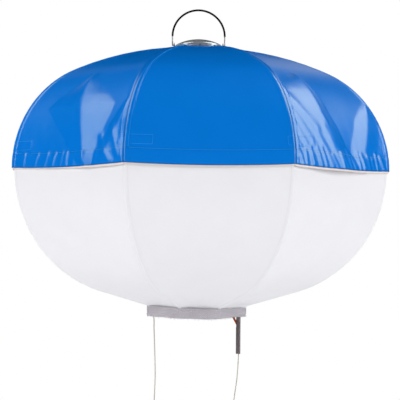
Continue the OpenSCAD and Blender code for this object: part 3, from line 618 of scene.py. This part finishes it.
def cover_lift(gore, across, width, distance):
    high = cover_length - distance
    edge = min(across, width - across)
    free = ease((edge - 0.002) / 0.012)
    sag = -0.0015 * (1 - (2 * across / width - 1) ** 2) * ease(high / 0.2) * ease(distance / 0.2)
    felled = 0.0009 * ease((across - 0.0006) / 0.0014) * ease((fell - across) / 0.0012 + 0.5)
    lapped = 0.0004 * ease((width - across - 0.0006) / 0.0014) * ease((fell - width + across) / 0.0012 + 0.5)
    notch = -0.0008 * math.exp(-(edge / 0.0012) ** 2)
    stitch = -0.0005 * math.exp(-((across - fell + 0.0015) / 0.0013) ** 2)
    hem = 0.0007 * ease((hem_turn + 0.003 - high) / 0.002)
    hem -= 0.0007 * math.exp(-((high - hem_turn) / 0.0018) ** 2)
    pucker = 0.00025 * math.sin(high * 2 * math.pi / 0.017 + gore) * math.exp(-((across - fell) / 0.014) ** 2)
    patch = 0.0
    if patch_low < high < patch_high and (across < patch_wide or width - across < patch_past):
        patch = 0.0004
    drift = 0.0009 * ease(distance / 0.15) * noise.noise(Vector((gore * 7.3 + across * 7, high * 5, 3.0)))
    ripple = (0.3 if gore == 0 else 1.0) * ease(1.3 - high / 0.16)
    drift += 0.00045 * ripple * noise.noise(Vector((gore * 3.1 + (across + 0.4 * high) * 34, high * 13, 9.0)))
    rise = swell_height(gore, across, high)
    if high < creased_up_to:
        rise += crease_height(gore, across, high)
    sewn = ease(edge / 0.002) * (stitch + hem + pucker + patch)
    return felled + lapped + notch + sewn + free * (sag + drift + rise)


def cover_drop(gore, across, width, distance):
    high = cover_length - distance
    return 0.0052 * (1 - (2 * across / width - 1) ** 2) * ease(1 - high / 0.12)


# Painted shade on the cover: darker in each seam notch, all through the rolled fold at the hem, and along the
# hem's stitch line.
def cover_groove(across, width, distance, inset):
    edge = min(across, width - across)
    high = cover_length - distance
    rolled = 1.0 if inset > 0 else ease(1 - high / 0.0025)
    return max(0.4 * math.exp(-(edge / 0.0015) ** 2), 0.9 * rolled,
               0.35 * math.exp(-((high - hem_turn) / 0.0014) ** 2))


# The shade colour is painted shade in the seams and hem fold; the inside colour is the pale back of the
# coating.
coated_cloth = woven("coated_cloth", (0.0, 0.178, 0.680), (0.0, 0.194, 0.720), 0.21, 0.26, 1100, 0.000008,
                     shade=(0.0, 0.060, 0.230), inside=(0.62, 0.60, 0.56))
coating = coated_cloth.node_tree.nodes["Principled BSDF"]
coating.inputs["Specular IOR Level"].default_value = 0.75
coating.inputs["Specular Tint"].default_value = (0.95, 1.0, 0.35, 1)
high_rows = [creased_up_to + (cover_length - creased_up_to) * (1 - k / 38) for k in range(38)]
fine_rows = [creased_up_to - 0.005 * k for k in range(32)] + [0.050 - 0.0025 * k for k in range(20)]
fold_rows = [(0.0, 0.0), (-0.0006, 0.0003), (-0.0008, 0.0008), (-0.0004, 0.0013)]
fold_rows += [(0.0025 * k, 0.0016) for k in range(1, 13)]
cover_rows = [(cover_length - high, 0.0) for high in high_rows + fine_rows]
cover_rows += [(cover_length - high, inset) for high, inset in fold_rows]
cover_edges, cover_middle = [0, 0.0008, 0.0016, 0.0060, 0.0105, 0.0118, 0.0130], 96
cover = add_piece(
    "cover_cloth",
    sew_gores("cover_cloth", cover_line, cover_rows, cover_edges, cover_middle, cover_lift, cover_drop,
              cover_groove),
    coated_cloth)
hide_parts("cover")


# Hem binding: a cream tape folded over the cover's raw inner edge, which peeps out under the side gores.
# It is plain woven cotton tape, stitched in with the hem.
cream_tape = woven("cream_tape", (0.84, 0.73, 0.71), (0.90, 0.80, 0.78), 0.75, 0.9, 1600, 0.00006)


def tape_shows(gore, across):
    wave = 0.0006 * noise.noise(Vector((gore * 4.0 + across * 22, 0, 5.0)))
    if gore == 0:
        return 0.0020 + 0.5 * wave
    if gore == 7:
        return 0.0018 + 0.0028 * ease((across - 0.16) / 0.16) + wave
    return 0.0044 + wave


tape_up = [0.0025, 0.005, 0.0075, 0.010]
tape_rows = ([(up, 0.0020) for up in reversed(tape_up)]
             + [(-0.30, 0.0020), (-0.85, 0.0021), (-1.0, 0.0025), (-0.85, 0.0029)]
             + [(up, 0.0030) for up in tape_up])


def hem_tape():
    """Rows are (metres up inside the hem, or minus the share of what shows below it; inset)."""
    tape = bmesh.new()
    cloth = tape.loops.layers.uv.new("cloth")
    columns = 2 * len(cover_edges) + cover_middle
    last_row = len(tape_rows) - 1
    width = gore_width(walk(cover_line, cover_length))
    for gore in range(gore_count):
        made = bmesh.ops.create_grid(tape, x_segments=columns - 1, y_segments=last_row, size=1)["verts"]
        place = {}
        for vert in made:
            column = round((vert.co.x + 1) / 2 * (columns - 1))
            across = column_across(column, width, cover_edges, cover_middle)
            high, inset = tape_rows[round((1 - vert.co.y) / 2 * last_row)]
            down = -high * tape_shows(gore, across) + 0.0008 if high < 0 else 0.0
            lift = cover_lift(gore, across, width, cover_length - max(high, 0.0)) - inset
            at = walk(cover_line, cover_length - max(high, 0.0))
            vert.co = gore_point(at, gore, across, lift, cover_drop(gore, across, width, cover_length) + down)
            place[vert] = (across + gore * 0.5, high if high > 0 else -down)
        pin_cloth({face for vert in made for face in vert.link_faces}, cloth, place)
    bmesh.ops.remove_doubles(tape, verts=tape.verts[:], dist=0.00005)
    face_out(tape)
    return finish_mesh(tape, "hem_binding")


hem_binding = add_piece("hem_binding", hem_tape(), cream_tape)
navy_tape = grained("navy_tape", (0.008, 0.012, 0.045), (0.014, 0.022, 0.070), 0.85, 0.98, 800, 0.0006)
dress(navy_tape, "hem_tabs")


# Thread: bonded nylon lockstitch, one row on each felled seam, one round the hem and one round each patch.
# Every stitch is a short pulled-in loop that stands a thread's height off the coating.
thread_r = 0.00050
stitch_pitch, stitch_share = 0.0048, 0.72
# The thread is a lighter blue than the coating: partly its own colour, partly painted highlight standing in
# for the gloss on the puckered stitch ridges.
blue_thread = grained("blue_thread", (0.030, 0.36, 0.90), (0.060, 0.42, 0.96), 0.45, 0.65, 900, 0.00005)


def width_at(high):
    return gore_width(walk(cover_line, cover_length - high))


def stitch_rows():
    """Each row of stitches as (gore, across, high) marks on the cover."""
    rows = []
    for gore in range(gore_count):
        rows.append([(gore, fell - 0.0015, high * 0.002) for high in range(19, 290)])
        rows.append([(gore, fell + (width_at(hem_turn) - fell) * k / 200, hem_turn) for k in range(201)])
        low, top = patch_low + 0.002, patch_high - 0.002
        for right in (0, 1):
            near, reach = (0.003, patch_past) if right else (fell + 0.001, patch_wide)
            run = [(near, top), (reach - 0.004, top), (reach - 0.002, top - 0.002),
                   (reach - 0.002, low + 0.002), (reach - 0.004, low), (near, low)]
            if right:
                run = [(width_at(high) - across, high) for across, high in run]
            path = []
            for a, b in zip(run, run[1:]):
                steps = round(math.dist(a, b) / 0.001)
                path += [(gore, a[0] + (b[0] - a[0]) * k / steps, a[1] + (b[1] - a[1]) * k / steps)
                         for k in range(steps)]
            rows.append(path)
    return rows


def sew_thread():
    thread = bmesh.new()
    for row in stitch_rows():
        line = []
        for gore, across, high in row:
            distance = cover_length - high
            spot = walk(cover_line, distance)
            width = gore_width(spot)
            lift = cover_lift(gore, across, width, distance) + thread_r * 0.5
            line.append(gore_point(spot, gore, across, lift, cover_drop(gore, across, width, distance)))
        total = line_length(line)
        for k in range(int(total / stitch_pitch)):
            ends = []
            for distance in (k * stitch_pitch, k * stitch_pitch + stitch_pitch * stitch_share):
                for a, b in zip(line, line[1:]):
                    step = (b - a).length
                    if distance <= step:
                        break
                    distance -= step
                ends.append(a.lerp(b, distance / step))
            pull = ends[1] - ends[0]
            fit = Matrix.LocRotScale((ends[0] + ends[1]) / 2, pull.to_track_quat("X", "Z"),
                                     Vector((pull.length / 2, thread_r, thread_r)))
            bmesh.ops.create_icosphere(thread, subdivisions=1, radius=1, matrix=fit)
    return finish_mesh(thread, "cover_stitching")


cover_stitching = add_piece("cover_stitching", sew_thread(), blue_thread)


# Collar: a loop of grey polypropylene webbing drawn tight over the neck, on the hub's eight sides.
# It is gathered narrower over the cord lock; its lower edge is cut and frays into short loose yarns.
collar_r, collar_top, collar_tilt, collar_side = 0.1515, -0.8435, 0.026, -0.002
grey_webbing = woven("grey_webbing", (0.36, 0.335, 0.37), (0.56, 0.53, 0.575), 0.8, 0.95, 170, 0.0009)
collar_rows = [(0.0, 0.0016), (-0.0002, 0.0006), (0.0012, 0.0), (0.0040, 0.0002), (0.0060, 0.0),
               (0.0110, 0.0), (0.0170, 0.0), (0.0230, 0.0), (0.0262, 0.0002), (0.0285, 0.0),
               (0.0295, 0.0006), (0.0295, 0.0022)]
collar_gather = 0.26
yarn_r, yarn_from = 0.00030, 0.0285


def collar_point(turn, down, inset):
    gore = round((turn + math.pi / 2) / (2 * half_gore))
    off = turn + math.pi / 2 - gore * 2 * half_gore
    sharp = 1 / math.cos(off)
    down *= 1 - collar_gather * ease(1.1 * math.cos(turn) - 0.1)
    corner = ease((abs(off) - half_gore + 0.10) / 0.10)
    radius = collar_r * math.cos(half_gore) * sharp - 0.0016 * corner - inset
    radius += 0.0006 * noise.noise(Vector((math.cos(turn) * 5, math.sin(turn) * 5, down * 30)))
    sway = 0.0007 * noise.noise(Vector((math.cos(turn) * 3, math.sin(turn) * 3, 8.0)))
    at = Vector((math.cos(turn) * radius + collar_side, math.sin(turn) * radius, collar_top - down + sway))
    return at - Vector((0, 0, collar_tilt * at.x))


def collar_loop():
    band = bmesh.new()
    cloth = band.loops.layers.uv.new("cloth")
    around = 320
    made = bmesh.ops.create_grid(band, x_segments=around, y_segments=len(collar_rows) - 1, size=1)["verts"]
    place = {}
    for vert in made:
        turn = (vert.co.x + 1) * math.pi - math.pi / 2
        down, inset = collar_rows[round((1 - vert.co.y) / 2 * (len(collar_rows) - 1))]
        place[vert] = (turn * collar_r + 0.6 * down, down)
        vert.co = collar_point(turn, down, inset)
    pin_cloth(band.faces, cloth, place)
    bmesh.ops.remove_doubles(band, verts=band.verts[:], dist=0.00005)
    face_out(band)
    return finish_mesh(band, "collar_web")


collar_band = add_piece("collar_web", collar_loop(), grey_webbing)
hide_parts("collar_band")
loose_yarn = grained("loose_yarn", (0.28, 0.26, 0.30), (0.46, 0.44, 0.48), 0.85, 0.98, 900, 0.0002)


def frayed_yarns(count=420):
    chance = random.Random(11)
    yarns = []
    for k in range(count):
        turn = 2 * math.pi * (k + chance.random()) / count
        long = chance.uniform(0.0015, 0.0050)
        start = collar_point(turn, yarn_from, chance.uniform(0.0, 0.0016))
        bend = Vector((chance.uniform(-1, 1), chance.uniform(-1, 1), 0)) * long * 0.35
        yarns.append([start, start + bend * 0.4 + Vector((0, 0, -long * 0.5)),
                      start + bend + Vector((0, 0, -long))])
    return tube_mesh(yarns, yarn_r)


collar_fray = add_piece("collar_fray", frayed_yarns(), loose_yarn)


# Cap and bail: a spun stainless cap screwed down over the gathered cover, and a bright wire bail.
# The cap's rim is rolled over; a black sleeve covers the wire where it is gripped, the screws are blackened.
cap_low, cap_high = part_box("top_cap")
cap_sheet, rim_r, rim_rise, rim_round, foot_round = 0.0015, 0.067, 0.0105, 0.005, 0.002


def cap_profile():
    """Outer skin from the top of the dome to the flange's edge, then back along the inner skin."""
    flange_r, foot, top = cap_high[0], cap_low[2], cap_high[2]
    dome_rise = top - foot - rim_rise
    ball = (rim_r ** 2 + dome_rise ** 2) / (2 * dome_rise)
    centre = (0.0, top - ball)
    rim_in = rim_r - rim_round
    rim_turn = math.asin(rim_in / (ball - rim_round))
    rim_centre = (rim_in, centre[1] + (ball - rim_round) * math.cos(rim_turn))
    ledge = foot + cap_sheet
    edge_centre = (flange_r - cap_sheet / 2, foot + cap_sheet / 2)
    return (bow(centre, ball, 0, rim_turn, 24) + bow(rim_centre, rim_round, rim_turn, math.pi / 2, 10)[1:]
            + bow((rim_r + foot_round, ledge + foot_round), foot_round, -math.pi / 2, -math.pi, 6)
            + bow(edge_centre, cap_sheet / 2, 0, math.pi, 8)
            + [(rim_r - cap_sheet, foot)]
            + bow(rim_centre, rim_round - cap_sheet, math.pi / 2, rim_turn, 8)
            + bow(centre, ball - cap_sheet, rim_turn, 0, 20)[1:])


def turned(name, profile, steps=144):
    shape = bmesh.new()
    ring = [shape.verts.new((r, 0, z)) for r, z in profile]
    edges = [shape.edges.new(pair) for pair in zip(ring, ring[1:])]
    bmesh.ops.spin(shape, geom=ring + edges, cent=(0, 0, 0), axis=(0, 0, 1), angle=2 * math.pi, steps=steps,
                   use_merge=True)
    bmesh.ops.remove_doubles(shape, verts=shape.verts[:], dist=0.00001)
    bmesh.ops.recalc_face_normals(shape, faces=shape.faces[:])
    return finish_mesh(shape, name)


spun_steel = grained("spun_steel", (0.35, 0.385, 0.41), (0.44, 0.475, 0.50), 0.16, 0.26, 90, 0.00003, 0.45)
polished_steel = grained("polished_steel", (0.62, 0.60, 0.62), (0.72, 0.70, 0.72), 0.12, 0.20, 90, 0.00002,
                         0.70)
black_sleeve = grained("black_sleeve", (0.002, 0.002, 0.002), (0.005, 0.005, 0.005), 0.60, 0.80, 500, 0.0001)
black_sleeve.node_tree.nodes["Principled BSDF"].inputs["Specular IOR Level"].default_value = 0.02
spun_cap = add_piece("spun_cap", turned("spun_cap", cap_profile()), spun_steel)
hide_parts("top_cap")
dress(polished_steel, "bail_wire", "bail_lug_left", "bail_lug_right")
dress(dark_steel, "cap_screws")
dress(black_sleeve, "bail_grip")


# Floor and light: a pale round floor that fades out to white and is clear from below, and soft boxes round
# the object. Glossy surfaces mirror two bright side walls and, more faintly, the paper roll behind; the room
# behind the camera is dim.
floor_level, floor_r, fade_from, fade_short = -1.405, 2.0, 0.8, 0.1


def studio_floor():
    disc = bmesh.new()
    bmesh.ops.create_circle(disc, cap_ends=True, segments=96, radius=floor_r)
    bmesh.ops.translate(disc, verts=disc.verts[:], vec=(0, 0, floor_level))
    mesh = finish_mesh(disc, "floor")
    material = bpy.data.materials.new("studio_paper")
    material.use_nodes = True
    nodes, link = material.node_tree.nodes, material.node_tree.links.new
    paper = nodes["Principled BSDF"]
    paper.inputs["Base Color"].default_value = (0.86, 0.86, 0.86, 1)
    paper.inputs["Roughness"].default_value = 0.9
    white = nodes.new("ShaderNodeEmission")
    place = nodes.new("ShaderNodeTexCoord")
    reach = nodes.new("ShaderNodeVectorMath")
    reach.operation = "LENGTH"
    flatten = nodes.new("ShaderNodeVectorMath")
    flatten.operation = "MULTIPLY"
    flatten.inputs[1].default_value = (1, 1, 0)
    fade = nodes.new("ShaderNodeMapRange")
    fade.inputs["From Min"].default_value = fade_from
    fade.inputs["From Max"].default_value = floor_r - fade_short
    blend = nodes.new("ShaderNodeMixShader")
    link(place.outputs["Object"], flatten.inputs[0])
    link(flatten.outputs["Vector"], reach.inputs[0])
    link(reach.outputs["Value"], fade.inputs["Value"])
    link(fade.outputs["Result"], blend.inputs["Fac"])
    link(paper.outputs["BSDF"], blend.inputs[1])
    link(white.outputs["Emission"], blend.inputs[2])
    facing = nodes.new("ShaderNodeNewGeometry")
    clear = nodes.new("ShaderNodeBsdfTransparent")
    one_way = nodes.new("ShaderNodeMixShader")
    link(facing.outputs["Backfacing"], one_way.inputs["Fac"])
    link(blend.outputs["Shader"], one_way.inputs[1])
    link(clear.outputs["BSDF"], one_way.inputs[2])
    link(one_way.outputs["Shader"], nodes["Material Output"].inputs["Surface"])
    mesh.materials.append(material)
    floor = bpy.data.objects.new("floor", mesh)
    scene.collection.objects.link(floor)


studio_floor()


light_aim = Vector((0, 0, -0.405))


def soft_box(name, place, size, power):
    lamp = bpy.data.lights.new(name, "AREA")
    lamp.shape = "RECTANGLE"
    lamp.size, lamp.size_y = size
    lamp.energy = power
    holder = bpy.data.objects.new(name, lamp)
    bearing, rise, reach = math.radians(place[0]), math.radians(place[1]), place[2]
    holder.location = Vector((math.sin(bearing) * math.cos(rise), -math.cos(bearing) * math.cos(rise),
                              math.sin(rise))) * reach + light_aim
    holder.rotation_euler = (light_aim - holder.location).to_track_quat("-Z", "Y").to_euler()
    holder.visible_camera = False
    holder.visible_glossy = False
    scene.collection.objects.link(holder)


soft_box("left_lamp", (-57, 12, 3.4), (1.6, 1.6), 57)
soft_box("right_lamp", (57, 12, 3.4), (1.6, 1.6), 57)
soft_box("low_lamp", (0, -16, 3.3), (2.4, 0.6), 24)
soft_box("left_top_lamp", (-90, 62, 3.2), (1.6, 1.6), 24)
soft_box("right_top_lamp", (90, 62, 3.2), (1.6, 1.6), 24)
soft_box("back_left_lamp", (-135, 12, 3.4), (1.6, 1.6), 70)
soft_box("back_right_lamp", (135, 12, 3.4), (1.6, 1.6), 64)

room = bpy.data.worlds.new("studio")
scene.world = room
room.use_nodes = True
room.cycles.sampling_method = "NONE"
nodes, link = room.node_tree.nodes, room.node_tree.links.new
nodes.clear()


def ramp(value, start, stop, reach=1.0):
    step = nodes.new("ShaderNodeMapRange")
    step.inputs["From Min"].default_value = start
    step.inputs["From Max"].default_value = stop
    step.inputs["To Max"].default_value = reach
    link(value, step.inputs["Value"])
    return step.outputs["Result"]


def combine(operation, first, second):
    joined = nodes.new("ShaderNodeMath")
    joined.operation = operation
    link(first, joined.inputs[0])
    link(second, joined.inputs[1])
    return joined.outputs[0]


def sky(strength=1.0):
    light = nodes.new("ShaderNodeBackground")
    light.inputs["Color"].default_value = (1, 1, 1, 1)
    light.inputs["Strength"].default_value = strength
    return light


room_light = 0.10
left_wall_light, right_wall_light = 3.2, 4.4
left_roll_light, right_roll_light = 0.24, 0.60
wall_lean = (-0.135, 1.0, -0.68)
facing = nodes.new("ShaderNodeTexCoord")
split = nodes.new("ShaderNodeSeparateXYZ")
link(facing.outputs["Generated"], split.inputs[0])
aside, away, up = (split.outputs[axis] for axis in "XYZ")
slope = nodes.new("ShaderNodeVectorMath")
slope.operation = "DOT_PRODUCT"
slope.inputs[1].default_value = wall_lean
link(facing.outputs["Generated"], slope.inputs[0])
paper_roll = combine("ADD", ramp(aside, -0.14, -0.24, left_roll_light),
                     ramp(aside, 0.14, 0.24, right_roll_light))
paper_roll = combine("MULTIPLY", paper_roll, ramp(away, 0.70, 0.93))
breadth = combine("ABSOLUTE", aside, aside)
wall_edge = combine("SUBTRACT", slope.outputs["Value"], ramp(breadth, 0.86, 0.70, 0.08))
wall = combine("ADD", ramp(aside, -0.24, -0.36, left_wall_light), ramp(aside, 0.24, 0.36, right_wall_light))
for bound in (ramp(wall_edge, -0.16, -0.25), ramp(up, -0.25, -0.10), ramp(away, -0.50, -0.34)):
    wall = combine("MULTIPLY", wall, bound)
plain, mirror, backdrop = sky(room_light), sky(), sky()
link(combine("MAXIMUM", paper_roll, wall), mirror.inputs["Strength"])
path = nodes.new("ShaderNodeLightPath")
lit = nodes.new("ShaderNodeMixShader")
seen = nodes.new("ShaderNodeMixShader")
leave = nodes.new("ShaderNodeOutputWorld")
mirrored = combine("MAXIMUM", path.outputs["Is Glossy Ray"], path.outputs["Is Transmission Ray"])
link(mirrored, lit.inputs["Fac"])
link(plain.outputs["Background"], lit.inputs[1])
link(mirror.outputs["Background"], lit.inputs[2])
link(path.outputs["Is Camera Ray"], seen.inputs["Fac"])
link(lit.outputs["Shader"], seen.inputs[1])
link(backdrop.outputs["Background"], seen.inputs[2])
link(seen.outputs["Shader"], leave.inputs["Surface"])
